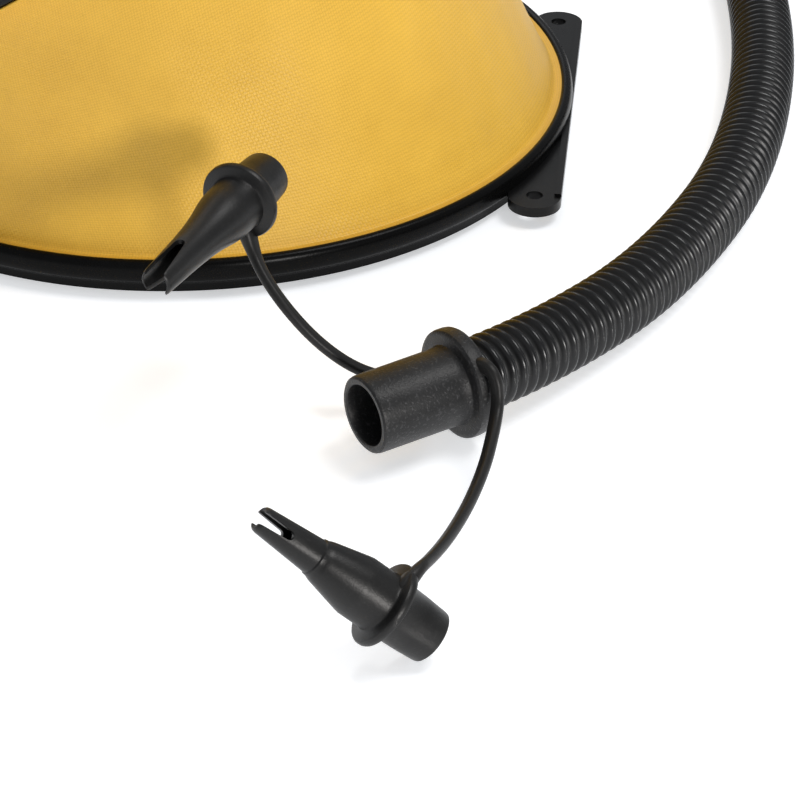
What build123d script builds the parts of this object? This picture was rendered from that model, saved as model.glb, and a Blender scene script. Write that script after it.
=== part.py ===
from build123d import *
import math
import os

os.makedirs("parts", exist_ok=True)

# ---------------------------------------------------------------- driving dimensions (mm, degrees)
# Frame: +Z up from the floor, +X from the heel hinge to the mouth of the bellows, origin on the
# floor under the middle of the pump without its hose.
base_radius = 140.0        # outside of the base's rim bead
pedal_radius = 138.0       # outside of the pedal's rim
open_angle = 31.5          # pedal angle at rest, held open by the return spring
foot_height = 3.5          # the base's underside above the floor
floor_thickness = 2.5
rim_top = 11.7             # top of the base's rim, where the fabric hem is bonded
rim_width = 13.0           # width of the rim's flange
rim_skin = 2.2             # thickness of the rim's top flange
skirt_wall = 2.4
flat_gap = 0.3             # between the fabric and what it is bonded to

hinge_reach = 146.0        # hinge axis behind the centre of the base
hinge_height = 29.5
barrel_radius = 7.0
hinge_pin_radius = 3.0
pin_clearance = 0.06       # radial, running fit
hinge_half_width = 28.0    # half length of the pedal's barrel
post_width = 12.0
side_gap = 0.4             # between the pedal's barrel and each post

tab_reach = 141.0          # straight outer edge of the tab bar
tab_hole_x = 131.8
tab_hole_half_spacing = 70.3
tab_hole_radius = 2.9
tab_lobe_radius = 9.2
tab_thickness = 3.6
tab_height = 4.6           # underside of the tab above the floor

foot_radius = 8.0
foot_stem_radius = 2.5
foot_circle = 112.0
foot_angles = [0, 55, 110, 180, -110, -55]

fabric_thickness = 0.8
hem_width = 6.0            # hem turned outward on the rim
hem_inset = 0.6            # bare rim outside the hem
waist_pull = 13.0          # how far the fabric pulls in at its middle

spring_wire = 3.2
spring_radius_base = 38.0
spring_radius_pedal = 27.0
spring_turns = 6
spring_reach = 156.0       # spring's seats from the hinge axis
seat_thickness = 1.5
seat_lip = 3.0

deck_top = 9.0             # pedal deck's upper face above the pedal's rim underside
deck_thickness = 2.5
tread_thickness = 2.2
tread_radius = 104.0

valve_circle = 103.0       # valve boxes from the base's centre
valve_angle = 135.0        # from +X, one each side of the hinge
valve_box_radius = 20.0
valve_box_wall = 3.0
valve_box_top = 18.0
valve_hole_radius = 9.0
valve_boss_reach = 23.5
valve_boss_radius = 4.0
gasket_thickness = 0.8
seat_plate_thickness = 2.0
flap_radius = 10.8
flap_thickness = 1.2
flap_gap = 0.15
flap_arm = 13.6            # flap pivot from the middle of the valve
flap_barrel_radius = 1.8
flap_barrel_half = 4.0
flap_pin_radius = 0.8
flap_ear_width = 2.0

duct_half_width = 17.5
duct_top = 9.2
duct_wall = 1.5
duct_clearance = 0.3
turret_reach = 160.0
turret_radius = 17.5
turret_top = 34.0
socket_height = 19.0
socket_length = 38.0       # socket mouth from the turret's middle
socket_radius = 15.0
socket_bore_radius = 12.5
socket_bore_depth = 24.0

screw_radius = 1.5
screw_head_radius = 3.0
screw_head_height = 1.9
screw_clearance = 0.2      # radial, in the holes the screws pass

hose_radius = 11.75
hose_bore_radius = 9.75
plug_clearance = 0.08
plug_length = 22.0
collar_radius = 15.5
collar_length = 14.0
recess_depth = 6.0
recess_clearance = 0.55

nozzle_yaw = 39.0          # direction of the nozzle's axis, towards the hose
nozzle_spigot_length = 30.2
nozzle_spigot_radius = 12.1
nozzle_bore_radius = 9.3
nozzle_bore_depth = 16.0
nozzle_flange_radius = 17.0
nozzle_flange_half = 2.5
nozzle_barb_radius = 8.6
nozzle_air_radius = 7.2

adapter_flange_radius = 12.3
adapter_flange_half = 1.4
adapter_plug_length = 15.0
adapter_plug_root = 8.6
adapter_plug_end = 7.7
adapter_body_radius = 8.6
adapter_air_radius = 6.3
strap_radius = 2.1

# Worked out
disc_x = (hinge_reach + barrel_radius - tab_reach) / 2
rim_inner = base_radius - rim_width
floor_top = foot_height + floor_thickness
hinge_x = disc_x - hinge_reach
open_cos = math.cos(math.radians(open_angle))
open_sin = math.sin(math.radians(open_angle))
socket_x = disc_x + turret_reach * math.cos(math.radians(valve_angle))
turret_y = turret_reach * math.sin(math.radians(valve_angle))
socket_mouth_y = turret_y + socket_length
hose_start_y = socket_mouth_y + flat_gap + collar_length - recess_depth + 0.7

# Free soft parts follow routes set by hand. The hose: straight out of its plug, down to the floor,
# round behind the base and forward past the tab bar to the nozzle.
hose_route = [
    (socket_x, hose_start_y, 19.0), (socket_x, 232.7, 17.0), (-53.9, 310.8, 11.9),
    (34.0, 345.6, 11.9), (126.2, 325.0, 11.9), (190.9, 256.1, 11.9), (218.9, 84.2, 11.9),
    (212.5, -39.3, 11.9), (183.6, -123.5, 11.9), (146.2, -180.2, 14.6), (125.2, -202.5, 17.2),
]
nozzle_centre = Vector(123.3, -204.2, 17.2)
nozzle_towards_tip = Vector(
    -math.cos(math.radians(nozzle_yaw)), -math.sin(math.radians(nozzle_yaw)), 0
)
slit_centre = Vector(55.7, -180.8, 62.0)
slit_direction = Vector(-0.332, -0.942, -0.037).normalized()
fork_centre = Vector(114.2, -311.8, 16.7)
fork_direction = Vector(-0.7406, -0.0915, 0.6653).normalized()



def rim_point(centre, direction, towards, radius):
    """A point at a radius from an axis through centre, on the side of another point."""
    offset = Vector(*towards) - centre
    out = (offset - direction * offset.dot(direction)).normalized()
    return centre + out * radius


# Each strap hangs from a lug on the nozzle's flange and ends at its adapter's flange.
slit_strap_gap = 1.8
fork_strap_gap = 2.4
slit_strap_end = rim_point(
    slit_centre, slit_direction, (59.0, -183.1, 49.5), adapter_flange_radius + slit_strap_gap
)
fork_strap_end = rim_point(
    fork_centre, fork_direction, (122.4, -311.7, 25.9), adapter_flange_radius + fork_strap_gap
)
slit_strap_route = [
    (111.2, -189.7, 9.9), (103.0, -194.6, 10.6), (92.3, -197.6, 15.4), (81.5, -198.4, 24.0),
    (71.5, -196.0, 34.0), (63.5, -190.3, 42.3), tuple(slit_strap_end),
]
fork_strap_route = [
    (135.2, -214.2, 30.6), (137.6, -219.0, 22.5), (137.0, -229.8, 17.0), (135.0, -244.5, 14.6),
    (132.0, -263.0, 15.0), (128.4, -281.5, 18.0), (125.2, -297.0, 22.6), tuple(fork_strap_end),
]

parts = {}


def finish(builder, name):
    """Label a finished sub-part and write it as its own node."""
    builder.part.label = name
    parts[name] = builder.part
    export_step(builder.part, f"parts/{name}.step")


# Pedal plane: origin on the hinge axis, x towards the mouth, z out of the deck.
pedal_plane = Plane(
    origin=(hinge_x, 0, hinge_height), x_dir=(open_cos, 0, open_sin), z_dir=(-open_sin, 0, open_cos)
)


def pedal_level(z, x=0.0, y=0.0):
    """A sketch plane on the pedal, z above its rim's underside, moved x, y within it."""
    return Plane(
        origin=pedal_plane.from_local_coords(Vector(x, y, z)),
        x_dir=pedal_plane.x_dir,
        z_dir=pedal_plane.z_dir,
    )


def base_level(z, x=0.0, y=0.0):
    """A horizontal sketch plane z above the floor, measured from the middle of the base."""
    return Plane(origin=(disc_x + x, y, z))


# ---------------------------------------------------------------- base
ring_slot = duct_half_width + duct_clearance
valve_sides = {"outlet": 1, "inlet": -1}


def valve_plane(side, z=0.0):
    """Plane of one valve: origin on the valve's axis, x radially outward, z up."""
    angle = math.radians(valve_angle)
    outward = Vector(math.cos(angle), side * math.sin(angle), 0)
    return Plane(
        origin=Vector(disc_x, 0, z) + outward * valve_circle, x_dir=outward, z_dir=(0, 0, 1)
    )


with BuildPart() as base_plate:
    # Rim: a channel open below, with a rounded upper bead over a lower band set in.
    with BuildSketch(Plane(origin=(disc_x, 0, 0), x_dir=(1, 0, 0), z_dir=(0, -1, 0))):
        with BuildLine():
            Polyline(
                (0, foot_height), (base_radius - 1.4, foot_height),
                (base_radius - 1.4, foot_height + 3.1), (base_radius - 0.7, foot_height + 3.5),
                (base_radius, foot_height + 4.2), (base_radius, rim_top - 2.0),
            )
            RadiusArc((base_radius, rim_top - 2.0), (base_radius - 2.0, rim_top), -2.0)
            Polyline(
                (base_radius - 2.0, rim_top), (rim_inner, rim_top), (rim_inner, floor_top),
                (0, floor_top), (0, foot_height),
            )
        make_face()
    revolve(axis=Axis((disc_x, 0, 0), (0, 0, 1)))
    with BuildSketch(base_level(foot_height)):
        Circle(base_radius - 1.4 - skirt_wall)
        Circle(rim_inner + skirt_wall, mode=Mode.SUBTRACT)
    extrude(amount=rim_top - rim_skin - foot_height, mode=Mode.SUBTRACT)
    # Ribs in the rim's channel
    rib_length = base_radius - rim_inner - skirt_wall - 2.0
    for step in range(24):
        angle = 7.5 + step * 15
        if abs(abs(angle - 180) - (180 - valve_angle)) > 10:
            direction = Vector(math.cos(math.radians(angle)), math.sin(math.radians(angle)), 0)
            rib_middle = Vector(disc_x, 0, foot_height + 0.5) + direction * (rim_inner + 5.7)
            with BuildSketch(Plane(origin=rib_middle, x_dir=direction, z_dir=(0, 0, 1))):
                Rectangle(rib_length, 1.6)
            extrude(amount=rim_top - rim_skin - foot_height)
    # Ribs on the chamber's floor, clear of the valves and of the spring's seat
    for angle in range(-100, 101, 25):
        direction = Vector(math.cos(math.radians(angle)), math.sin(math.radians(angle)), 0)
        rib_middle = Vector(disc_x, 0, floor_top - 0.2) + direction * 92
        with BuildSketch(Plane(origin=rib_middle, x_dir=direction, z_dir=(0, 0, 1))):
            Rectangle(72, 1.8)
        extrude(amount=3.0)
    # Tab bar at the mouth end: a straight outer edge between two drilled lobes
    with BuildSketch(base_level(tab_height)):
        bar_depth = 2 * (tab_reach - tab_hole_x)
        with Locations((tab_hole_x, 0)):
            Rectangle(bar_depth, 2 * tab_hole_half_spacing)
        with Locations((tab_hole_x, tab_hole_half_spacing), (tab_hole_x, -tab_hole_half_spacing)):
            Circle(tab_lobe_radius)
        Circle(base_radius - 2.4, mode=Mode.SUBTRACT)
    extrude(amount=tab_thickness)
    # Raised lip along the bar's outer edge and round its lobes
    with BuildSketch(base_level(tab_height + tab_thickness - 0.2)):
        with Locations((tab_reach - 1.2, 0)):
            Rectangle(2.4, 2 * tab_hole_half_spacing)
    extrude(amount=1.2)
    # Heel plate and the two hinge posts
    with BuildSketch(Plane(origin=(hinge_x, 0, foot_height))):
        with Locations((5, 0)):
            Rectangle(24, 2 * (hinge_half_width + side_gap + post_width) + 8)
        with Locations((22, 0)):
            Rectangle(24, 200, mode=Mode.SUBTRACT)
    extrude(amount=floor_thickness + 1.0)
    for side in (1, -1):
        post_y = side * (hinge_half_width + side_gap + post_width / 2)
        with BuildSketch(Plane(origin=(hinge_x, post_y, 0), x_dir=(1, 0, 0), z_dir=(0, -1, 0))):
            with Locations((0, (hinge_height + foot_height) / 2)):
                Rectangle(2 * barrel_radius, hinge_height - foot_height)
        extrude(amount=post_width / 2, both=True)
    # Hinge barrels on top of the posts
    for side in (1, -1):
        post_y = side * (hinge_half_width + side_gap + post_width / 2)
        with BuildSketch(
            Plane(origin=(hinge_x, post_y, hinge_height), x_dir=(1, 0, 0), z_dir=(0, -1, 0))
        ):
            Circle(barrel_radius)
        extrude(amount=post_width / 2, both=True)
    with BuildSketch(Plane(origin=(hinge_x, 0, hinge_height), x_dir=(1, 0, 0), z_dir=(0, -1, 0))):
        Circle(hinge_pin_radius + pin_clearance)
    extrude(amount=100, both=True, mode=Mode.SUBTRACT)
    # Tab holes, foot holes and spring seat screw holes
    with BuildSketch(base_level(0)):
        with Locations((tab_hole_x, tab_hole_half_spacing), (tab_hole_x, -tab_hole_half_spacing)):
            Circle(tab_hole_radius)
        for angle in foot_angles:
            with PolarLocations(foot_circle, 1, start_angle=angle):
                Circle(foot_stem_radius + screw_clearance)
        with Locations((spring_reach - hinge_reach, 0)):
            with PolarLocations(20, 3):
                Circle(screw_radius + screw_clearance)
    extrude(amount=rim_top + 10, mode=Mode.SUBTRACT)
    # Openings for the two valve housings, under the rim's flange
    for side in valve_sides.values():
        with BuildSketch(valve_plane(side)):
            Circle(valve_box_radius + duct_clearance)
            with Locations((turret_reach / 2 - valve_circle / 2, 0)):
                Rectangle(turret_reach - valve_circle, 2 * ring_slot)
            with Locations((0, valve_boss_reach), (0, -valve_boss_reach)):
                Circle(screw_radius + screw_clearance)
        extrude(amount=duct_top + duct_clearance, mode=Mode.SUBTRACT)
finish(base_plate, "base_plate")

with BuildPart() as base_feet:
    for angle in foot_angles:
        spot = Vector(math.cos(math.radians(angle)), math.sin(math.radians(angle)), 0) * foot_circle
        with BuildSketch(base_level(0, spot.X, spot.Y)):
            Circle(foot_radius - 0.8)
        with BuildSketch(base_level(foot_height, spot.X, spot.Y)):
            Circle(foot_radius)
        loft()
        with BuildSketch(base_level(foot_height, spot.X, spot.Y)):
            Circle(foot_stem_radius)
        extrude(amount=floor_thickness)
finish(base_feet, "base_feet")

# ---------------------------------------------------------------- hinge
pin_half = hinge_half_width + side_gap + post_width + 4.5
with BuildPart() as hinge_pin:
    with BuildSketch(Plane(origin=(hinge_x, 0, hinge_height), x_dir=(1, 0, 0), z_dir=(0, -1, 0))):
        Circle(hinge_pin_radius)
    extrude(amount=pin_half, both=True)
    chamfer(hinge_pin.edges().filter_by(GeomType.CIRCLE), 0.6)
finish(hinge_pin, "hinge_pin")

cap_inner = hinge_half_width + side_gap + post_width + side_gap
with BuildPart() as pin_caps:
    for side in (1, -1):
        with BuildSketch(
            Plane(origin=(hinge_x, side * cap_inner, hinge_height), x_dir=(1, 0, 0), z_dir=(0, side, 0))
        ):
            Circle(5.5)
        extrude(amount=5.6, taper=6)
        with BuildSketch(
            Plane(origin=(hinge_x, side * cap_inner, hinge_height), x_dir=(1, 0, 0), z_dir=(0, side, 0))
        ):
            Circle(hinge_pin_radius + pin_clearance)
        extrude(amount=pin_half - cap_inner + 0.2, mode=Mode.SUBTRACT)
finish(pin_caps, "pin_caps")

# ---------------------------------------------------------------- valve housings
ear_outer = flap_barrel_half + flap_gap * 2 + flap_ear_width
plate_bottom = valve_box_top + gasket_thickness
plate_top = plate_bottom + seat_plate_thickness

for name, side in valve_sides.items():
    socket_plane = Plane(
        origin=(socket_x, side * turret_y, socket_height), x_dir=(1, 0, 0), z_dir=(0, side, 0)
    )
    turret_offset = turret_reach - valve_circle
    with BuildPart() as housing:
        with BuildSketch(valve_plane(side, foot_height)):
            Circle(valve_box_radius)
        extrude(amount=valve_box_top - foot_height)
        with BuildSketch(valve_plane(side, floor_top)):
            with Locations((0, valve_boss_reach), (0, -valve_boss_reach)):
                Circle(valve_boss_radius)
        extrude(amount=valve_box_top - floor_top)
        with BuildSketch(valve_plane(side, foot_height)):
            with Locations((turret_offset / 2, 0)):
                Rectangle(turret_offset, 2 * duct_half_width)
        extrude(amount=duct_top - foot_height)
        with BuildSketch(valve_plane(side, foot_height)):
            with Locations((turret_offset, 0)):
                Circle(turret_radius)
        extrude(amount=turret_top - foot_height)
        with BuildSketch(socket_plane):
            Circle(socket_radius)
        extrude(amount=socket_length)
        # Air way: valve box, flat duct, turret, socket
        with BuildSketch(valve_plane(side, foot_height + duct_wall)):
            Circle(valve_box_radius - valve_box_wall)
        extrude(amount=valve_box_top, mode=Mode.SUBTRACT)
        with BuildSketch(valve_plane(side, foot_height + duct_wall)):
            with Locations((turret_offset / 2, 0)):
                Rectangle(turret_offset, 2 * (duct_half_width - duct_wall))
        extrude(amount=duct_top - foot_height - 2 * duct_wall, mode=Mode.SUBTRACT)
        with BuildSketch(valve_plane(side, foot_height + duct_wall)):
            with Locations((turret_offset, 0)):
                Circle(turret_radius - 2.5)
        extrude(amount=turret_top - foot_height - duct_wall - 2.5, mode=Mode.SUBTRACT)
        with BuildSketch(socket_plane):
            Circle(socket_bore_radius - 1.5)
        extrude(amount=socket_length, mode=Mode.SUBTRACT)
        with BuildSketch(socket_plane.offset(socket_length - socket_bore_depth)):
            Circle(socket_bore_radius)
        extrude(amount=socket_bore_depth, mode=Mode.SUBTRACT)
        with BuildSketch(valve_plane(side, foot_height)):
            with Locations((0, valve_boss_reach), (0, -valve_boss_reach)):
                Circle(screw_radius + screw_clearance)
        extrude(amount=valve_box_top, mode=Mode.SUBTRACT)
    finish(housing, f"{name}_housing")

    # The outlet's flap hangs under its seat and opens down into the box; the inlet's lies on its
    # seat and opens up into the chamber.
    hangs = name == "outlet"
    barrel_z = plate_bottom - 2.1 if hangs else plate_top + 2.1
    ear_foot = plate_bottom - 4.1 if hangs else plate_top
    with BuildPart() as seat:
        with BuildSketch(valve_plane(side, plate_bottom)):
            Circle(valve_box_radius)
            with Locations((0, valve_boss_reach), (0, -valve_boss_reach)):
                Circle(valve_boss_radius + 0.5)
            Circle(valve_hole_radius, mode=Mode.SUBTRACT)
            with Locations((0, valve_boss_reach), (0, -valve_boss_reach)):
                Circle(screw_radius + screw_clearance, mode=Mode.SUBTRACT)
        extrude(amount=seat_plate_thickness)
        with BuildSketch(valve_plane(side, ear_foot)):
            ear_middle = ear_outer - flap_ear_width / 2
            with Locations((-flap_arm, ear_middle), (-flap_arm, -ear_middle)):
                Rectangle(3.0, flap_ear_width)
        extrude(amount=4.1)
        pivot_plane = valve_plane(side, barrel_z)
        pivot_point = pivot_plane.from_local_coords(Vector(-flap_arm, 0, 0))
        cross_plane = Plane(origin=pivot_point, x_dir=pivot_plane.x_dir, z_dir=pivot_plane.y_dir)
        with BuildSketch(cross_plane):
            Circle(flap_pin_radius + pin_clearance)
        extrude(amount=12, both=True, mode=Mode.SUBTRACT)
    finish(seat, f"{name}_valve_seat")

    with BuildPart() as gasket:
        with BuildSketch(valve_plane(side, valve_box_top)):
            Circle(valve_box_radius)
            with Locations((0, valve_boss_reach), (0, -valve_boss_reach)):
                Circle(valve_boss_radius)
            Circle(valve_box_radius - valve_box_wall, mode=Mode.SUBTRACT)
            with Locations((0, valve_boss_reach), (0, -valve_boss_reach)):
                Circle(screw_radius + screw_clearance, mode=Mode.SUBTRACT)
        extrude(amount=gasket_thickness)
    finish(gasket, f"{name}_gasket")

    flap_z = plate_bottom - flap_gap - flap_thickness if hangs else plate_top + flap_gap
    with BuildPart() as flap:
        with BuildSketch(valve_plane(side, flap_z)):
            Circle(flap_radius)
            with Locations((-flap_arm + 3, 0)):
                Rectangle(6, 2 * flap_barrel_half)
        extrude(amount=flap_thickness)
        with BuildSketch(cross_plane):
            Circle(flap_barrel_radius)
        extrude(amount=flap_barrel_half, both=True)
        with BuildSketch(cross_plane):
            Circle(flap_pin_radius + pin_clearance)
        extrude(amount=flap_barrel_half + 1, both=True, mode=Mode.SUBTRACT)
    finish(flap, f"{name}_flap")

    with BuildPart() as flap_pin:
        with BuildSketch(cross_plane):
            Circle(flap_pin_radius)
        extrude(amount=ear_outer, both=True)
    finish(flap_pin, f"{name}_flap_pin")

    with BuildPart() as valve_screws:
        for offset_y in (valve_boss_reach, -valve_boss_reach):
            shank_bottom = foot_height + 0.4
            with BuildSketch(valve_plane(side, shank_bottom)):
                with Locations((0, offset_y)):
                    Circle(screw_radius)
            extrude(amount=plate_top - shank_bottom)
            with BuildSketch(valve_plane(side, plate_top)):
                with Locations((0, offset_y)):
                    Circle(screw_head_radius)
            extrude(amount=screw_head_height)
            with BuildSketch(valve_plane(side, plate_top + screw_head_height - 0.9)):
                with Locations((0, offset_y)):
                    Rectangle(3.6, 0.8)
                    Rectangle(0.8, 3.6)
            extrude(amount=1.0, mode=Mode.SUBTRACT)
    finish(valve_screws, f"{name}_screws")

# ---------------------------------------------------------------- pedal
with BuildPart() as top_plate:
    deck_under = deck_top - deck_thickness
    side_plane = Plane(
        origin=pedal_plane.from_local_coords(Vector(hinge_reach, 0, 0)),
        x_dir=pedal_plane.x_dir, z_dir=-pedal_plane.y_dir,
    )
    with BuildSketch(side_plane):
        with BuildLine():
            Polyline(
                (0, deck_under), (pedal_radius - skirt_wall, deck_under),
                (pedal_radius - skirt_wall, rim_skin), (pedal_radius - rim_width, rim_skin),
                (pedal_radius - rim_width, 0), (pedal_radius - 1.5, 0),
            )
            RadiusArc((pedal_radius - 1.5, 0), (pedal_radius, 1.5), -1.5)
            Line((pedal_radius, 1.5), (pedal_radius, deck_top - 2.5))
            RadiusArc((pedal_radius, deck_top - 2.5), (pedal_radius - 2.5, deck_top), -2.5)
            Polyline((pedal_radius - 2.5, deck_top), (0, deck_top), (0, deck_under))
        make_face()
    revolve(axis=Axis(side_plane.origin, pedal_plane.z_dir))
    # Ribs under the deck
    for angle in range(0, 360, 30):
        turn = math.radians(angle)
        middle = Vector(hinge_reach + 90 * math.cos(turn), 90 * math.sin(turn), deck_under + 0.2)
        rib_plane = Plane(
            origin=pedal_plane.from_local_coords(middle),
            x_dir=pedal_plane.x_dir * math.cos(turn) + pedal_plane.y_dir * math.sin(turn),
            z_dir=-pedal_plane.z_dir,
        )
        with BuildSketch(rib_plane):
            Rectangle(78, 1.8)
        extrude(amount=3.4)
    # Hinge barrel and its arm
    with BuildSketch(pedal_level(0.0)):
        with Locations((9, 0)):
            Rectangle(18, 2 * hinge_half_width)
    extrude(amount=deck_under)
    with BuildSketch(Plane(origin=(hinge_x, 0, hinge_height), x_dir=(1, 0, 0), z_dir=(0, -1, 0))):
        Circle(barrel_radius)
    extrude(amount=hinge_half_width, both=True)
    with BuildSketch(Plane(origin=(hinge_x, 0, hinge_height), x_dir=(1, 0, 0), z_dir=(0, -1, 0))):
        Circle(hinge_pin_radius + pin_clearance)
    extrude(amount=hinge_half_width + 1, both=True, mode=Mode.SUBTRACT)
    # Recess for the tread pad and holes for the spring seat's screws
    with BuildSketch(pedal_level(deck_top - 0.8, hinge_reach)):
        Circle(tread_radius + flat_gap)
    extrude(amount=2.0, mode=Mode.SUBTRACT)
    with BuildSketch(pedal_level(deck_under, spring_reach)):
        with PolarLocations(12, 3):
            Circle(screw_radius + screw_clearance)
    extrude(amount=1.6, mode=Mode.SUBTRACT)
finish(top_plate, "top_plate")

with BuildPart() as tread_pad:
    with BuildSketch(pedal_level(deck_top - 0.8, hinge_reach)):
        Circle(tread_radius)
    extrude(amount=tread_thickness)
    with BuildSketch(pedal_level(deck_top - 0.8 + tread_thickness - 0.9, hinge_reach)):
        with GridLocations(12, 0, 15, 1):
            Rectangle(3.0, 2 * tread_radius - 40)
        with BuildSketch(mode=Mode.INTERSECT):
            Circle(tread_radius - 8)
    extrude(amount=1.0, mode=Mode.SUBTRACT)
finish(tread_pad, "tread_pad")

# ---------------------------------------------------------------- return spring and its seats
seat_x = spring_reach - hinge_reach
with BuildPart() as base_spring_seat:
    with BuildSketch(base_level(floor_top, seat_x)):
        Circle(spring_radius_base + 6)
    extrude(amount=seat_thickness)
    with BuildSketch(base_level(floor_top + seat_thickness, seat_x)):
        Circle(spring_radius_base + 6)
        Circle(spring_radius_base + 4.4, mode=Mode.SUBTRACT)
        Circle(spring_radius_base - 6)
        Circle(spring_radius_base - 7.6, mode=Mode.SUBTRACT)
    extrude(amount=seat_lip)
    with BuildSketch(base_level(floor_top, seat_x)):
        with PolarLocations(20, 3):
            Circle(screw_radius + screw_clearance)
    extrude(amount=seat_thickness, mode=Mode.SUBTRACT)
finish(base_spring_seat, "base_spring_seat")


def seat_down(depth):
    """A plane under the pedal's deck, facing down, at the middle of the spring's upper seat."""
    return Plane(
        origin=pedal_plane.from_local_coords(Vector(spring_reach, 0, deck_under - depth)),
        x_dir=pedal_plane.x_dir, z_dir=-pedal_plane.z_dir,
    )


with BuildPart() as pedal_spring_seat:
    with BuildSketch(seat_down(3.6)):
        Circle(spring_radius_pedal + 6)
    extrude(amount=seat_thickness)
    with BuildSketch(seat_down(3.6 + seat_thickness)):
        Circle(spring_radius_pedal + 6)
        Circle(spring_radius_pedal + 4.4, mode=Mode.SUBTRACT)
        Circle(spring_radius_pedal - 5.4)
        Circle(spring_radius_pedal - 7, mode=Mode.SUBTRACT)
    extrude(amount=seat_lip)
    with BuildSketch(seat_down(0)):
        Circle(16)
    extrude(amount=3.6 + seat_thickness)
    with BuildSketch(seat_down(0)):
        with Locations(Rotation(0, 0, 0)):
            with PolarLocations(12, 3, start_angle=0):
                Circle(screw_radius + screw_clearance)
    extrude(amount=10, mode=Mode.SUBTRACT)
finish(pedal_spring_seat, "pedal_spring_seat")

spring_bottom = floor_top + seat_thickness + spring_wire / 2 + 0.35
spring_top = pedal_plane.from_local_coords(
    Vector(spring_reach, 0, deck_under - 3.6 - seat_thickness - spring_wire / 2 - 0.35)
)
spring_foot = Vector(disc_x + seat_x, 0, spring_bottom)
spring_corner = Vector(
    spring_foot.X, 0, spring_top.Z - (spring_foot.X - spring_top.X) / math.tan(math.radians(open_angle))
)
spring_points = []
steps_per_turn = 8
step_count = spring_turns * steps_per_turn
for step in range(step_count + 1):
    along = step / step_count
    rise = along - 0.75 * math.sin(2 * math.pi * along) / (2 * math.pi)
    middle = (
        spring_foot * (1 - rise) ** 2 + spring_corner * 2 * rise * (1 - rise) + spring_top * rise**2
    )
    heading = (spring_corner - spring_foot) * (1 - rise) + (spring_top - spring_corner) * rise
    lean = math.atan2(-heading.X, heading.Z)
    radius = spring_radius_base + (spring_radius_pedal - spring_radius_base) * rise
    turn = 2 * math.pi * spring_turns * along
    across = radius * math.cos(turn)
    spring_points.append((
        middle.X + across * math.cos(lean),
        radius * math.sin(turn),
        middle.Z + across * math.sin(lean),
    ))


def largest_radii(points, share=0.45):
    """For each corner of a route, the largest arc that its two runs allow."""
    corners = [Vector(point) for point in points]
    radii = []
    for before, here, after in zip(corners, corners[1:], corners[2:]):
        first, second = here - before, after - here
        half_turn = math.radians(first.get_angle(second)) / 2
        radii.append(share * min(first.length, second.length) / math.tan(half_turn))
    return radii


def tube_along(points, outer, inner=0.0):
    """Sweep a round tube along straight runs joined by tangent arcs."""
    radii = largest_radii(points)
    with BuildPart() as tube:
        with BuildLine() as path:
            FilletPolyline(*points, radius=radii)
        start = Plane(origin=path.line @ 0, z_dir=path.line % 0)
        with BuildSketch(start):
            Circle(outer)
            if inner:
                Circle(inner, mode=Mode.SUBTRACT)
        sweep(path=path.line)
    length = sum(edge.length for edge in path.edges())
    section = math.pi * (outer**2 - inner**2)
    print("  length", round(length, 1), "volume ratio", round(tube.part.volume / (section * length), 4))
    print("  radii", [round(radius) for radius in radii])
    return tube


print("return_spring")
return_spring = tube_along(spring_points, spring_wire / 2)
finish(return_spring, "return_spring")

with BuildPart() as base_seat_screws:
    for index in range(3):
        turn = math.radians(120 * index)
        spot = (seat_x + 20 * math.cos(turn), 20 * math.sin(turn))
        with BuildSketch(base_level(foot_height + 0.3, *spot)):
            Circle(screw_radius)
        extrude(amount=floor_thickness + seat_thickness - 0.3)
        with BuildSketch(base_level(floor_top + seat_thickness, *spot)):
            Circle(screw_head_radius)
        extrude(amount=screw_head_height)
finish(base_seat_screws, "base_seat_screws")

with BuildPart() as pedal_seat_screws:
    for index in range(3):
        turn = math.radians(120 * index)
        spot = Vector(12 * math.cos(turn), 12 * math.sin(turn), 0)
        middle = pedal_plane.from_local_coords(
            Vector(spring_reach, 0, deck_under - 3.6 - seat_thickness) + spot
        )
        with BuildSketch(Plane(origin=middle, x_dir=pedal_plane.x_dir, z_dir=pedal_plane.z_dir)):
            Circle(screw_radius)
        extrude(amount=3.6 + seat_thickness + 1.2)
        with BuildSketch(Plane(origin=middle, x_dir=pedal_plane.x_dir, z_dir=-pedal_plane.z_dir)):
            Circle(screw_head_radius)
        extrude(amount=screw_head_height)
finish(pedal_seat_screws, "pedal_seat_screws")

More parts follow.
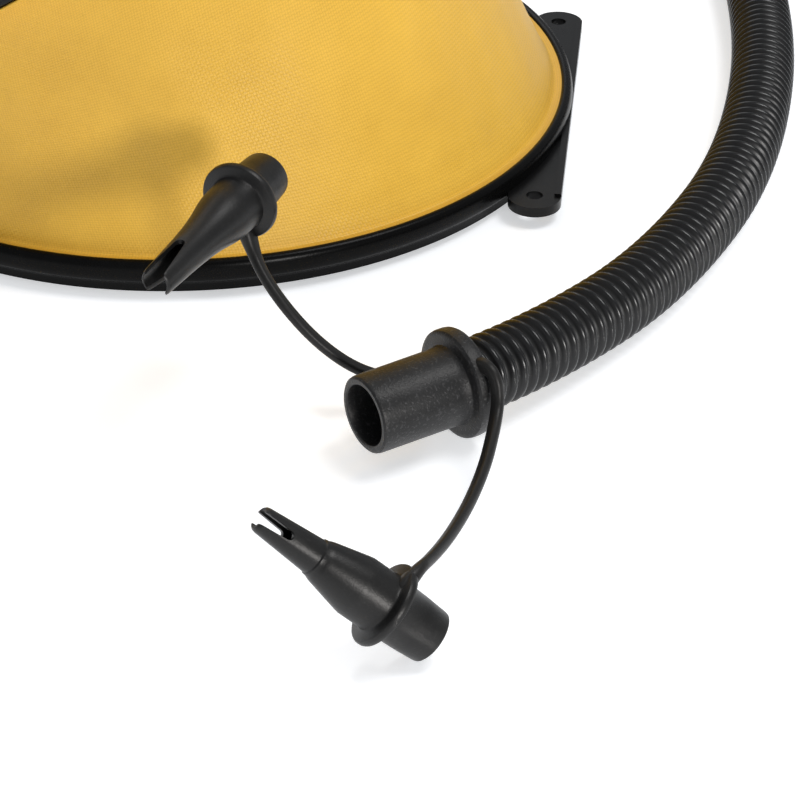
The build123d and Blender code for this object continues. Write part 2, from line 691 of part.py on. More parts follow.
# ---------------------------------------------------------------- bellows
hem_bottom = rim_top + flat_gap
wall_base = base_radius - hem_inset - hem_width
wall_pedal = pedal_radius - hem_inset - hem_width
half_angle = math.radians(open_angle / 2)
middle_plane_x = (math.cos(half_angle), 0, math.sin(half_angle))
mouth_middle = (hinge_reach + wall_base) * math.cos(half_angle) - waist_pull
heel_middle = (hinge_reach - wall_base) * math.cos(half_angle) + 2.0
waist_centre = (mouth_middle + heel_middle) / 2
waist_x = (mouth_middle - heel_middle) / 2
waist_y = wall_base - waist_pull / 2 - 0.5
middle_plane = Plane(
    origin=(
        hinge_x + waist_centre * math.cos(half_angle), 0,
        hinge_height - 5 + waist_centre * math.sin(half_angle),
    ),
    x_dir=middle_plane_x, z_dir=(-math.sin(half_angle), 0, math.cos(half_angle)),
)
with BuildPart() as bellows:
    for inset, mode in ((0.0, Mode.ADD), (fabric_thickness, Mode.SUBTRACT)):
        with BuildSketch(base_level(hem_bottom)):
            Circle(wall_base - inset)
        with BuildSketch(middle_plane):
            Ellipse(waist_x - inset, waist_y - inset)
        with BuildSketch(pedal_level(-flat_gap, hinge_reach)):
            Circle(wall_pedal - inset)
        loft(mode=mode)
    with BuildSketch(base_level(hem_bottom)):
        Circle(base_radius - hem_inset)
        Circle(wall_base - fabric_thickness, mode=Mode.SUBTRACT)
    extrude(amount=fabric_thickness)
    with BuildSketch(pedal_level(-flat_gap - fabric_thickness, hinge_reach)):
        Circle(pedal_radius - hem_inset)
        Circle(wall_pedal - fabric_thickness, mode=Mode.SUBTRACT)
    extrude(amount=fabric_thickness)
finish(bellows, "bellows")

# ---------------------------------------------------------------- hose and its plug
plug_plane = Plane(origin=(socket_x, socket_mouth_y, socket_height), x_dir=(1, 0, 0), z_dir=(0, 1, 0))
with BuildPart() as hose_plug:
    with BuildSketch(plug_plane.offset(-plug_length)):
        Circle(socket_bore_radius - plug_clearance)
    extrude(amount=plug_length + flat_gap)
    with BuildSketch(plug_plane.offset(flat_gap)):
        Circle(collar_radius)
    extrude(amount=collar_length)
    with BuildSketch(plug_plane.offset(flat_gap + 2)):
        with PolarLocations(collar_radius, 12):
            Circle(1.3)
    extrude(amount=collar_length - 4, mode=Mode.SUBTRACT)
    with BuildSketch(plug_plane.offset(-plug_length)):
        Circle(hose_bore_radius - 0.75)
    extrude(amount=plug_length + collar_length + 1, mode=Mode.SUBTRACT)
    with BuildSketch(plug_plane.offset(flat_gap + collar_length - recess_depth)):
        Circle(hose_radius + recess_clearance)
    extrude(amount=recess_depth + 1, mode=Mode.SUBTRACT)
finish(hose_plug, "hose_plug")

print("hose")
hose = tube_along(hose_route, hose_radius, hose_bore_radius)
finish(hose, "hose")


def turned(centre, direction, outline, holes, name_lug=None, cutters=()):
    """Turn an outline of (along, radius) points about an axis through centre, then bore it."""
    sideways = direction.cross(Vector(0, 0, 1)).normalized()
    profile_plane = Plane(origin=centre, x_dir=direction, z_dir=sideways)
    with BuildPart() as piece:
        with BuildSketch(profile_plane):
            with BuildLine():
                Polyline(*[(along, -radius) for along, radius in outline], close=True)
            make_face()
        revolve(axis=Axis(centre, direction))
        if name_lug is not None:
            lug_start, lug_end, lug_radius = name_lug
            lug_axis = lug_end - lug_start
            with BuildSketch(Plane(origin=lug_start, z_dir=lug_axis)):
                Circle(lug_radius)
            extrude(amount=lug_axis.length)
        for hole in holes:
            with BuildSketch(profile_plane):
                with BuildLine():
                    Polyline(*[(along, -radius) for along, radius in hole], close=True)
                make_face()
            revolve(axis=Axis(centre, direction), mode=Mode.SUBTRACT)
        for normal, start, width, depth, taper_width in cutters:
            across = direction.cross(normal).normalized()
            slot_plane = Plane(origin=centre, x_dir=direction, z_dir=across)
            with BuildSketch(slot_plane):
                with BuildLine():
                    Polyline(
                        (start, -taper_width / 2), (start + depth, -width / 2),
                        (start + depth, width / 2), (start, taper_width / 2), close=True,
                    )
                make_face()
                with Locations((start, 0)):
                    Circle(taper_width / 2)
            extrude(amount=20, both=True, mode=Mode.SUBTRACT)
    return piece


def radial_from(centre, direction, point):
    """Unit vector from an axis out to a point beside it."""
    offset = Vector(*point) - centre
    return (offset - direction * offset.dot(direction)).normalized()


# ---------------------------------------------------------------- nozzle
tip_end = nozzle_flange_half + nozzle_spigot_length
slit_root = Vector(*slit_strap_route[0])
fork_root = Vector(*fork_strap_route[0])
slit_out = radial_from(nozzle_centre, nozzle_towards_tip, slit_root)
fork_out = radial_from(nozzle_centre, nozzle_towards_tip, fork_root)
nozzle = turned(
    nozzle_centre,
    nozzle_towards_tip,
    [
        (-nozzle_flange_half - 0.5, 0), (-nozzle_flange_half - 0.5, nozzle_flange_radius - 1.0),
        (-nozzle_flange_half + 0.5, nozzle_flange_radius), (1.5, nozzle_flange_radius),
        (nozzle_flange_half, nozzle_flange_radius - 1.0), (nozzle_flange_half, nozzle_spigot_radius),
        (tip_end - 1.0, nozzle_spigot_radius), (tip_end, nozzle_spigot_radius - 1.0), (tip_end, 0),
    ],
    [
        [(-4, 0), (-4, nozzle_air_radius), (tip_end - nozzle_bore_depth - 4, nozzle_air_radius),
         (tip_end - nozzle_bore_depth, nozzle_bore_radius), (tip_end - 0.8, nozzle_bore_radius),
         (tip_end + 0.2, nozzle_bore_radius + 0.8), (tip_end + 0.2, 0)],
        [(-4, 0), (-4, hose_radius + recess_clearance + 0.3),
         (-0.2, hose_radius + recess_clearance + 0.3), (-0.2, 0)],
    ],
)
with BuildPart() as nozzle_full:
    add(nozzle.part)
    for root, out in ((slit_root, slit_out), (fork_root, fork_out)):
        lug_start = rim_point(nozzle_centre, nozzle_towards_tip, tuple(root), 14.0)
        lug_start += nozzle_towards_tip * (root - nozzle_centre).dot(nozzle_towards_tip) * 0.5
        lug_run = root - lug_start
        with BuildSketch(Plane(origin=lug_start, z_dir=lug_run)):
            Circle(strap_radius + 0.5)
        extrude(amount=lug_run.length - strap_radius - 0.95)
    # Barb that holds the hose from inside
    with BuildSketch(Plane(origin=nozzle_centre - nozzle_towards_tip * 7.0, z_dir=nozzle_towards_tip)):
        Circle(nozzle_barb_radius)
        Circle(nozzle_air_radius, mode=Mode.SUBTRACT)
    extrude(amount=6.8)
finish(nozzle_full, "nozzle")

# ---------------------------------------------------------------- adapters on their straps
plug_end = -adapter_flange_half - adapter_plug_length
slit_normal = Vector(0.886, -0.369, 0.008).normalized()
slit_adapter = turned(
    slit_centre,
    slit_direction,
    [
        (plug_end, 0), (plug_end, adapter_plug_end - 0.5), (plug_end + 0.6, adapter_plug_end),
        (-adapter_flange_half, adapter_plug_root - 0.2), (-adapter_flange_half, adapter_flange_radius - 0.5),
        (-0.8, adapter_flange_radius), (0.8, adapter_flange_radius),
        (adapter_flange_half, adapter_flange_radius - 0.5), (adapter_flange_half, adapter_body_radius),
        (9, adapter_body_radius - 0.1), (14, 8.1), (20, 7.1), (27, 6.2), (36, 5.5), (50, 4.9), (50, 0),
    ],
    [[(plug_end - 1, 0), (plug_end - 1, adapter_air_radius), (8, adapter_air_radius), (24, 4.4),
      (51, 3.7), (51, 0)]],
    cutters=[(slit_normal, 33.0, 7.2, 20.0, 2.6)],
)
finish(slit_adapter, "slit_adapter")

fork_normal = Vector(0.410, 0.723, 0.556).normalized()
fork_adapter = turned(
    fork_centre,
    fork_direction,
    [
        (plug_end, 0), (plug_end, adapter_plug_end - 0.5), (plug_end + 0.6, adapter_plug_end),
        (-adapter_flange_half, adapter_plug_root - 0.2), (-adapter_flange_half, adapter_flange_radius - 0.5),
        (-0.8, adapter_flange_radius), (0.8, adapter_flange_radius),
        (adapter_flange_half, adapter_flange_radius - 0.5), (adapter_flange_half, adapter_body_radius),
        (10.5, adapter_body_radius), (22.6, 5.8), (22.9, 5.5), (24.2, 5.4), (24.3, 5.0),
        (42.2, 3.7), (43.0, 3.2), (43.0, 0),
    ],
    [[(plug_end - 1, 0), (plug_end - 1, adapter_air_radius), (9, adapter_air_radius), (24, 3.4),
      (44, 2.3), (44, 0)]],
    cutters=[(fork_normal, 34.0, 3.0, 10.0, 2.2)],
)
finish(fork_adapter, "fork_adapter")

print("slit_strap")
slit_strap = tube_along(slit_strap_route, strap_radius)
finish(slit_strap, "slit_strap")
print("fork_strap")
fork_strap = tube_along(fork_strap_route, strap_radius)
finish(fork_strap, "fork_strap")

whole = Compound(children=list(parts.values()))
box = whole.bounding_box()
print(len(parts), "nodes", "box", box.min, box.max)
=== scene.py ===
import math

import bpy
from mathutils import Matrix, Vector, noise


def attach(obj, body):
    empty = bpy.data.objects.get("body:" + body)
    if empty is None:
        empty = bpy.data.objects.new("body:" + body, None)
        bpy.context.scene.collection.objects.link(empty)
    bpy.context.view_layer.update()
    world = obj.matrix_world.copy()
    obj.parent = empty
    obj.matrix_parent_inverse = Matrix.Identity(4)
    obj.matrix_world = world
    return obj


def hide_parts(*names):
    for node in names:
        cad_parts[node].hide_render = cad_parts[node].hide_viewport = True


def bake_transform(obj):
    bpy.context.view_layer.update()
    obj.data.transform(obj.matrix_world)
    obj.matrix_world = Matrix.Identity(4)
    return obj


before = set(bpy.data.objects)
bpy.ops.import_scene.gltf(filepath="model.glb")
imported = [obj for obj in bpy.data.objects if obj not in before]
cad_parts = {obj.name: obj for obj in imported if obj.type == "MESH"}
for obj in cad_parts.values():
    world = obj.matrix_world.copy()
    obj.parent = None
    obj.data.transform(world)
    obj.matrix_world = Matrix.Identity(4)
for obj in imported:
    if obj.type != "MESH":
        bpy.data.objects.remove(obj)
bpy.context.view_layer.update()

MM = 0.001
scene = bpy.context.scene


# ---------------------------------------------------------------- camera, lights and floor
def aim(thing, place, target):
    """Put a light or camera at a place and turn it to face a target."""
    thing.location = place
    thing.rotation_euler = (Vector(target) - Vector(place)).to_track_quat("-Z", "Y").to_euler()


def soft_light(name, place, target, size, power, tint):
    """A round area light that faces a target."""
    light = bpy.data.lights.new(name, "AREA")
    light.shape = "DISK"
    light.size = size
    light.energy = power
    light.color = tint
    lamp = bpy.data.objects.new(name, light)
    scene.collection.objects.link(lamp)
    aim(lamp, place, target)
    return lamp


view_camera = bpy.data.objects.new("view_camera", bpy.data.cameras.new("view_camera"))
scene.collection.objects.link(view_camera)
scene.camera = view_camera
view_camera.data.sensor_width = 36.0
view_camera.data.lens = 112.7
view_camera.data.clip_start = 0.01
view_camera.location = (0.1757, -0.8262, 0.4248)
view_camera.rotation_euler = (math.radians(90 - 33.55), 0, math.radians(6.37))

scene.view_settings.view_transform = "Standard"
room = bpy.data.worlds.new("studio_room")
scene.world = room
room.use_nodes = True
room.node_tree.nodes["Background"].inputs["Color"].default_value = (0.93, 0.96, 1.0, 1.0)
room.node_tree.nodes["Background"].inputs["Strength"].default_value = 0.42

soft_light("key_light", (0.9, -1.4, 0.46), (0.02, -0.12, 0.05), 0.26, 10.5, (1.0, 0.98, 0.96))
soft_light("top_light", (0.75, -0.1, 1.5), (0.1, 0.0, 0.0), 0.7, 10.5, (1.0, 1.0, 1.0))
soft_light("back_light", (-0.5, 1.3, 1.3), (0.0, 0.0, 0.05), 1.2, 6.0, (1.0, 1.0, 1.0))


# ---------------------------------------------------------------- shader arithmetic
class Amount:
    """A number that varies over a surface: a node's output that takes ordinary arithmetic."""

    def __init__(self, finish, socket):
        self.finish = finish
        self.socket = socket

    def _maths(self, operation, first, second):
        return self.finish.node("ShaderNodeMath", {"operation": operation}, {0: first, 1: second})

    def __add__(self, other):
        return self._maths("ADD", self, other)

    def __radd__(self, other):
        return self._maths("ADD", other, self)

    def __sub__(self, other):
        return self._maths("SUBTRACT", self, other)

    def __rsub__(self, other):
        return self._maths("SUBTRACT", other, self)

    def __mul__(self, other):
        return self._maths("MULTIPLY", self, other)

    def __rmul__(self, other):
        return self._maths("MULTIPLY", other, self)

    def __truediv__(self, other):
        return self._maths("DIVIDE", self, other)

    def __mod__(self, other):
        return self._maths("FLOORED_MODULO", self, other)

    def __pow__(self, other):
        return self._maths("POWER", self, other)

    def wave(self):
        return self.finish.node("ShaderNodeMath", {"operation": "SINE"}, {0: self})

    def whole(self):
        return self.finish.node("ShaderNodeMath", {"operation": "FLOOR"}, {0: self})

    def size(self):
        return self.finish.node("ShaderNodeMath", {"operation": "ABSOLUTE"}, {0: self})

    def at_least(self, other):
        return self._maths("MAXIMUM", self, other)

    def spread(self, low, high, new_low=0.0, new_high=1.0):
        """The same number with low to high carried to a new range, and held inside it."""
        return self.finish.node(
            "ShaderNodeMapRange", {"clamp": True},
            {0: self, 1: low, 2: high, 3: new_low, 4: new_high},
        )


class Finish:
    """A material under construction."""

    def __init__(self, name, **constants):
        self.material = bpy.data.materials.new(name)
        self.material.use_nodes = True
        self.tree = self.material.node_tree
        self.surface = self.tree.nodes["Principled BSDF"]
        for label, value in constants.items():
            self.surface.inputs[label.replace("_", " ")].default_value = value

    def node(self, kind, settings, inputs, output=0):
        made = self.tree.nodes.new(kind)
        for key, value in settings.items():
            setattr(made, key, value)
        for key, value in inputs.items():
            if isinstance(value, Amount):
                self.tree.links.new(value.socket, made.inputs[key])
            else:
                made.inputs[key].default_value = value
        return Amount(self, made.outputs[output])

    def place(self, stretch=(1.0, 1.0, 1.0)):
        """Object coordinates, in metres, stretched per axis."""
        coordinates = self.node("ShaderNodeTexCoord", {}, {}, "Object")
        return self.node("ShaderNodeMapping", {}, {"Vector": coordinates, "Scale": stretch})

    def cloud(self, scale, detail=3.0, roughness=0.55, stretch=(1.0, 1.0, 1.0)):
        return self.node(
            "ShaderNodeTexNoise", {},
            {
                "Vector": self.place(stretch), "Scale": scale,
                "Detail": detail, "Roughness": roughness,
            },
        )

    def blend_colours(self, amount, first, second):
        return self.node(
            "ShaderNodeMix", {"data_type": "RGBA"}, {0: amount, 6: first, 7: second}, 2
        )

    def feed(self, label, value):
        self.tree.links.new(value.socket, self.surface.inputs[label])

    def relief(self, height, depth, strength=1.0):
        """Raise and sink the surface by a height from 0 to 1, depth metres at most."""
        bump = self.node(
            "ShaderNodeBump", {}, {"Height": height, "Distance": depth, "Strength": strength}
        )
        self.feed("Normal", bump)


def moulded_plastic(name, dark, light, shine, grain, mirror=0.2):
    """Injection-moulded plastic: spark-eroded grain and slight flow marks."""
    finish = Finish(name, IOR=1.49, Specular_IOR_Level=mirror)
    fine = finish.cloud(grain, 2.0, 0.5)
    flow = finish.cloud(22.0, 3.0, 0.6, (1.0, 1.0, 2.5))
    dust = finish.cloud(140.0, 4.0, 0.7).spread(0.52, 0.8)
    finish.feed("Base Color", finish.blend_colours(flow * 0.5 + dust * 0.5, dark, light))
    finish.feed("Roughness", flow * 0.12 + fine * 0.08 + (shine - 0.1))
    finish.relief(fine + dust * 0.2, 0.00005, 0.5)
    return finish.material


def yellow_fabric():
    """Coated oxford cloth: ribbed plain weave under a thin semi-matt film, faintly mottled; painted light
    makes it lighter towards +X, and painted shade darkens the gaps between threads.
    """
    finish = Finish("yellow coated oxford cloth", IOR=1.45, Sheen_Weight=0.08, Sheen_Roughness=0.4)
    threads = finish.node("ShaderNodeUVMap", {"uv_map": "cloth"}, {})
    split = finish.node("ShaderNodeSeparateXYZ", {}, {0: threads})
    across = split
    along = Amount(finish, split.socket.node.outputs[1])
    pitch_across = 0.00105
    pitch_along = 0.00085
    column = across / pitch_across
    row = along / pitch_along
    over = ((column.whole() + row.whole()) % 2.0)
    warp = (column * math.pi).wave().size()
    weft = (row * math.pi).wave().size()
    weave = warp * over + weft * (1.0 - over)
    slub = finish.cloud(900.0, 2.0, 0.6, (1.0, 1.0, 1.0))
    mottle = finish.cloud(38.0, 4.0, 0.6)
    # painted light: the colour grows lighter from X = -0.14 m to X = 0.12 m, the side the key light falls
    # on
    painted_side_light = finish.node("ShaderNodeSeparateXYZ", {}, {0: finish.place()}).spread(-0.14, 0.12)
    # painted shade: weave is 0 in the gaps between threads, so the gaps are painted darker as well as
    # sunk by the bump
    shade = weave * 0.32 + mottle * 0.4 + slub * 0.16 + painted_side_light * 0.3 - 0.15
    finish.feed(
        "Base Color",
        finish.blend_colours(
            shade.spread(0.15, 0.8), (0.53, 0.285, 0.0215, 1.0), (0.81, 0.482, 0.053, 1.0)
        ),
    )
    finish.feed("Roughness", mottle * 0.14 + weave * 0.08 + 0.33)
    finish.relief(weave * 0.8 + slub * 0.3, 0.00014, 0.55)
    return finish.material


def hose_plastic():
    """Blow-moulded corrugated hose: glossy crowns, duller and dustier in the grooves."""
    finish = Finish("black corrugated hose plastic", IOR=1.5, Specular_IOR_Level=0.42)
    crown = finish.node("ShaderNodeAttribute", {"attribute_name": "crown"}, {}, "Fac")
    haze = finish.cloud(160.0, 4.0, 0.65)
    finish.feed(
        "Base Color",
        finish.blend_colours(
            (1.0 - crown) * haze.spread(0.35, 0.75), (0.003, 0.003, 0.0032, 1.0),
            (0.012, 0.0118, 0.0115, 1.0),
        ),
    )
    finish.feed("Roughness", (1.0 - crown) * 0.2 + haze * 0.1 + 0.19)
    finish.relief(haze, 0.00006, 0.4)
    return finish.material


def soft_black(name, dark, light, speckled, shine):
    """Soft moulded vinyl: fine grain, more or less speckled, with a faint bloom."""
    finish = Finish(name, IOR=1.46, Specular_IOR_Level=0.38, Specular_Tint=(1.0, 0.985, 0.97, 1.0))
    grain = finish.cloud(2000.0, 2.0, 0.6)
    speckle = finish.cloud(1100.0, 1.0, 0.5).spread(0.56, 0.72)
    bloom = finish.cloud(70.0, 3.0, 0.6)
    finish.feed("Base Color", finish.blend_colours(speckle * speckled + bloom * 0.4, dark, light))
    finish.feed("Roughness", bloom * 0.12 + grain * 0.1 + shine)
    finish.relief(grain + speckle * speckled, 0.00003 + 0.00013 * speckled, 0.75)
    return finish.material


def drawn_steel(name, dark, light, shine):
    """Drawn or stamped steel under thin plating, with fine lengthwise draw marks."""
    finish = Finish(name)
    finish.surface.inputs["Metallic"].default_value = 1.0
    marks = finish.cloud(420.0, 3.0, 0.6, (1.0, 1.0, 0.08))
    spangle = finish.cloud(120.0, 2.0, 0.5)
    finish.feed("Base Color", finish.blend_colours(marks * 0.6 + spangle * 0.4, dark, light))
    finish.feed("Roughness", marks * 0.2 + spangle * 0.1 + shine)
    finish.relief(marks, 0.00003, 0.4)
    return finish.material


def black_rubber(name, dark, light):
    """Matt rubber with a chalky bloom and fine moulded grain."""
    finish = Finish(name, IOR=1.5)
    bloom = finish.cloud(60.0, 4.0, 0.65)
    grain = finish.cloud(1800.0, 2.0, 0.5)
    finish.feed("Base Color", finish.blend_colours(bloom.spread(0.35, 0.75), dark, light))
    finish.feed("Roughness", bloom * 0.2 + grain * 0.08 + 0.5)
    finish.relief(grain, 0.00008, 0.5)
    return finish.material


base_plastic = moulded_plastic(
    "black moulded plastic", (0.002, 0.002, 0.0021, 1), (0.008, 0.008, 0.008, 1), 0.3, 2400.0
)
# painted shade: the base plate's plastic again, made darker and less reflective for the rim bead alone
rim_plastic_shaded_copy = moulded_plastic(
    "black moulded plastic, shaded copy for the rim", (0.0015, 0.0015, 0.0015, 1), (0.004, 0.004, 0.004, 1), 0.26, 2400.0, 0.08
)
fitting_plastic = moulded_plastic(
    "black fitting plastic", (0.014, 0.014, 0.015, 1), (0.036, 0.036, 0.036, 1), 0.42, 1900.0
)
cloth = yellow_fabric()
hose_finish = hose_plastic()
nozzle_vinyl = soft_black(
    "grained soft black vinyl", (0.004, 0.004, 0.0042, 1), (0.036, 0.036, 0.037, 1), 0.65, 0.3
)
adapter_vinyl = soft_black(
    "soft black adapter vinyl", (0.0035, 0.0035, 0.0035, 1), (0.019, 0.0185, 0.018, 1), 0.2, 0.27
)
strap_vinyl = soft_black(
    "soft black strap vinyl", (0.004, 0.0038, 0.0036, 1), (0.018, 0.017, 0.016, 1), 0.15, 0.32
)
spring_steel = drawn_steel("drawn spring steel", (0.33, 0.33, 0.34, 1), (0.62, 0.62, 0.62, 1), 0.22)
zinc_steel = drawn_steel("zinc plated steel", (0.5, 0.5, 0.47, 1), (0.75, 0.75, 0.72, 1), 0.25)
tread_rubber = black_rubber("black rubber", (0.014, 0.014, 0.014, 1), (0.045, 0.045, 0.044, 1))

node_finish = {
    "base_plate": base_plastic, "top_plate": base_plastic, "pin_caps": fitting_plastic,
    "outlet_housing": fitting_plastic, "inlet_housing": fitting_plastic,
    "outlet_valve_seat": fitting_plastic, "inlet_valve_seat": fitting_plastic,
    "hose_plug": fitting_plastic, "base_feet": tread_rubber, "tread_pad": tread_rubber,
    "outlet_gasket": tread_rubber, "inlet_gasket": tread_rubber,
    "outlet_flap": tread_rubber, "inlet_flap": tread_rubber,
    "hinge_pin": zinc_steel, "outlet_flap_pin": zinc_steel, "inlet_flap_pin": zinc_steel,
    "outlet_screws": zinc_steel, "inlet_screws": zinc_steel, "base_seat_screws": zinc_steel,
    "pedal_seat_screws": zinc_steel, "base_spring_seat": zinc_steel,
    "pedal_spring_seat": zinc_steel,
}
for node_name, finish_used in node_finish.items():
    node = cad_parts[node_name]
    node.data.materials.clear()
    node.data.materials.append(finish_used)


# ---------------------------------------------------------------- floor
def deselect():
    if bpy.context.object and bpy.context.object.mode != "OBJECT":
        bpy.ops.object.mode_set(mode="OBJECT")
    bpy.ops.object.select_all(action="DESELECT")


deselect()
bpy.ops.mesh.primitive_plane_add(size=14.0, location=(0, 0, -0.0002))
floor = bpy.context.object
floor.name = "floor"
floor_finish = Finish("pale floor", IOR=1.45, Emission_Strength=0.5)
floor_finish.surface.inputs["Emission Color"].default_value = (0.97, 0.985, 1.0, 1.0)
floor_cloud = floor_finish.cloud(3.0, 2.0, 0.5)
floor_finish.feed(
    "Base Color",
    floor_finish.blend_colours(floor_cloud, (0.86, 0.87, 0.89, 1), (0.9, 0.905, 0.92, 1)),
)
floor_finish.feed("Roughness", floor_cloud * 0.06 + 0.16)
floor.data.materials.append(floor_finish.material)


# ---------------------------------------------------------------- routes, shared by the free soft parts
def route_points(route):
    """Points along the smooth spline that has the route as its control points, in metres."""
    line = bpy.data.curves.new("route", "CURVE")
    line.dimensions = "3D"
    line.resolution_u = 32
    spline = line.splines.new("NURBS")
    spline.points.add(len(route) - 1)
    for point, place in zip(spline.points, route):
        point.co = (place[0] * MM, place[1] * MM, place[2] * MM, 1.0)
    spline.order_u = 3
    spline.use_endpoint_u = True
    carrier = bpy.data.objects.new("route", line)
    scene.collection.objects.link(carrier)
    bpy.context.view_layer.update()
    mesh = bpy.data.meshes.new_from_object(carrier)
    points = [vertex.co.copy() for vertex in mesh.vertices]
    bpy.data.objects.remove(carrier)
    bpy.data.curves.remove(line)
    bpy.data.meshes.remove(mesh)
    return points


def even_steps(points, step):
    """The same line with points a step apart."""
    travelled = [0.0]
    for before, after in zip(points, points[1:]):
        travelled.append(travelled[-1] + (after - before).length)
    count = max(4, round(travelled[-1] / step))
    result = []
    index = 0
    for number in range(count + 1):
        goal = travelled[-1] * number / count
        while index < len(points) - 2 and travelled[index + 1] < goal:
            index += 1
        span = max(travelled[index + 1] - travelled[index], 1e-12)
        result.append(points[index].lerp(points[index + 1], (goal - travelled[index]) / span))
    return result, travelled[-1]


def tube_along(name, points, outline, growth, side=Vector((0, 0, 1))):
    """A closed tube: an outline carried along points without twist, grown at each one.

    growth(number) gives the outline's scale at a point; outline is a list of (x, y) in metres.
    """
    vertices, faces = [], []
    around = len(outline)
    for number, point in enumerate(points):
        before = points[max(number - 1, 0)]
        after = points[min(number + 1, len(points) - 1)]
        forward = (after - before).normalized()
        side = (side - forward * side.dot(forward)).normalized()
        other = forward.cross(side)
        scale = growth(number)
        vertices += [point + (side * x + other * y) * scale for x, y in outline]
    for ring in range(len(points) - 1):
        for corner in range(around):
            beside = (corner + 1) % around
            faces.append((
                ring * around + corner, ring * around + beside,
                (ring + 1) * around + beside, (ring + 1) * around + corner,
            ))
    last = (len(points) - 1) * around
    faces.append(tuple(range(around - 1, -1, -1)))
    faces.append(tuple(last + corner for corner in range(around)))
    mesh = bpy.data.meshes.new(name)
    mesh.from_pydata(vertices, [], faces)
    mesh.update()
    made = bpy.data.objects.new(name, mesh)
    scene.collection.objects.link(made)
    for face in mesh.polygons[:-2]:
        face.use_smooth = True
    return made


def ring_outline(count, radius):
    """A circle's corner points."""
    return [
        (radius * math.cos(2 * math.pi * k / count), radius * math.sin(2 * math.pi * k / count))
        for k in range(count)
    ]


def rounded_outline(width, height, corner, per_corner=5):
    """A rectangle with rounded corners."""
    outline = []
    for turn, (x, y) in enumerate(((1, 1), (-1, 1), (-1, -1), (1, -1))):
        middle = (x * (width / 2 - corner), y * (height / 2 - corner))
        for step in range(per_corner + 1):
            angle = math.pi / 2 * (turn + step / per_corner)
            outline.append(
                (middle[0] + corner * math.cos(angle), middle[1] + corner * math.sin(angle))
            )
    return outline


hose_start_y = 113.137 + 38.0 + 0.3 + 14.0 - 6.0 + 0.7
hose_route = [
    (-107.137, hose_start_y, 19.0), (-107.137, 232.7, 17.0), (-53.9, 310.8, 11.9),
    (34.0, 345.6, 11.9), (126.2, 325.0, 11.9), (190.9, 256.1, 11.9), (218.9, 84.2, 11.9),
    (212.5, -39.3, 11.9), (183.6, -123.5, 11.9), (146.2, -180.2, 14.6), (125.2, -202.5, 17.2),
]
slit_strap_route = [
    (118.6, -195.0, 12.6), (111.2, -189.9, 9.9), (103.0, -194.6, 10.6), (92.3, -197.6, 15.4),
    (81.5, -198.4, 24.0), (71.5, -196.0, 34.0), (63.5, -190.3, 42.3), (59.3, -184.3, 48.0),
    (57.6, -182.4, 53.2),
]
fork_strap_route = [
    (127.4, -208.6, 26.2), (130.6, -211.8, 29.0), (133.8, -214.8, 29.6), (135.9, -216.8, 26.8),
    (136.6, -218.4, 22.2), (136.5, -221.8, 18.8), (136.0, -230.0, 16.6), (134.9, -243.5, 15.0),
    (132.2, -261.5, 15.0), (128.6, -281.3, 18.0), (125.0, -297.6, 22.2), (122.0, -308.0, 25.6),
    (118.4, -311.9, 21.8),
]

# ---------------------------------------------------------------- corrugated hose
hose_pitch = 4.4 * MM
samples_per_ring = 10
hose_points, _ = even_steps(route_points(hose_route), hose_pitch / samples_per_ring)
hose_crest = 11.75 * MM
hose_groove = 9.7 * MM


def crown_height(number):
    """0 at the bottom of a groove, 1 on a ring's rounded crown."""
    phase = (number % samples_per_ring) / samples_per_ring
    across = min(max((phase - 0.15) / 0.7, 0.0), 1.0)
    return math.sqrt(max(0.0, math.sin(math.pi * across)))


def hose_growth(number):
    last = len(hose_points) - 1
    if number < 3 or number > last - 3:
        return hose_groove
    return hose_groove + (hose_crest - hose_groove) * crown_height(number)


hose_sides = 40
hose = tube_along("corrugated_hose", hose_points, ring_outline(hose_sides, 1.0), hose_growth)
crown = hose.data.attributes.new("crown", "FLOAT", "POINT")
for number in range(len(hose_points)):
    for corner in range(hose_sides):
        crown.data[number * hose_sides + corner].value = crown_height(number)
hose.data.materials.append(hose_finish)
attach(hose, "base")
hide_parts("hose")


# ---------------------------------------------------------------- turned pieces
def select_all_edit():
    bpy.ops.object.mode_set(mode="EDIT")
    bpy.ops.mesh.select_all(action="SELECT")


def turned_piece(name, stations, sides=96):
    """A round hollow piece along +Z: a ring pulled from station to station and sized at each.

    stations are (height, radius) in millimetres, going round the wall's section once.
    """
    deselect()
    height, radius = stations[0]
    bpy.ops.mesh.primitive_circle_add(
        vertices=sides, radius=radius * MM, fill_type="NOTHING", location=(0, 0, height * MM)
    )
    piece = bpy.context.object
    piece.name = name
    bpy.ops.object.transform_apply(location=True)
    select_all_edit()
    for (height, radius), (next_height, next_radius) in zip(stations, stations[1:]):
        bpy.ops.mesh.extrude_edges_move(
            TRANSFORM_OT_translate={"value": (0, 0, (next_height - height) * MM)}
        )
        grow = next_radius / radius
        bpy.ops.transform.resize(
            value=(grow, grow, 1), center_override=(0, 0, next_height * MM)
        )
    bpy.ops.mesh.select_all(action="SELECT")
    bpy.ops.mesh.remove_doubles(threshold=0.00001)
    bpy.ops.mesh.normals_make_consistent(inside=False)
    bpy.ops.object.mode_set(mode="OBJECT")
    return piece


def stand_at(piece, centre, direction, facing):
    """Carry a piece from +Z at the origin to a place, its +X turned towards facing."""
    along = Vector(direction).normalized()
    out = Vector(facing)
    out = (out - along * out.dot(along)).normalized()
    across = along.cross(out)
    turn = Matrix((out, across, along)).transposed().to_4x4()
    piece.matrix_world = Matrix.Translation(Vector(centre) * MM) @ turn
    deselect()
    piece.select_set(True)
    bpy.context.view_layer.objects.active = piece
    bpy.ops.object.transform_apply(location=True, rotation=True, scale=True)


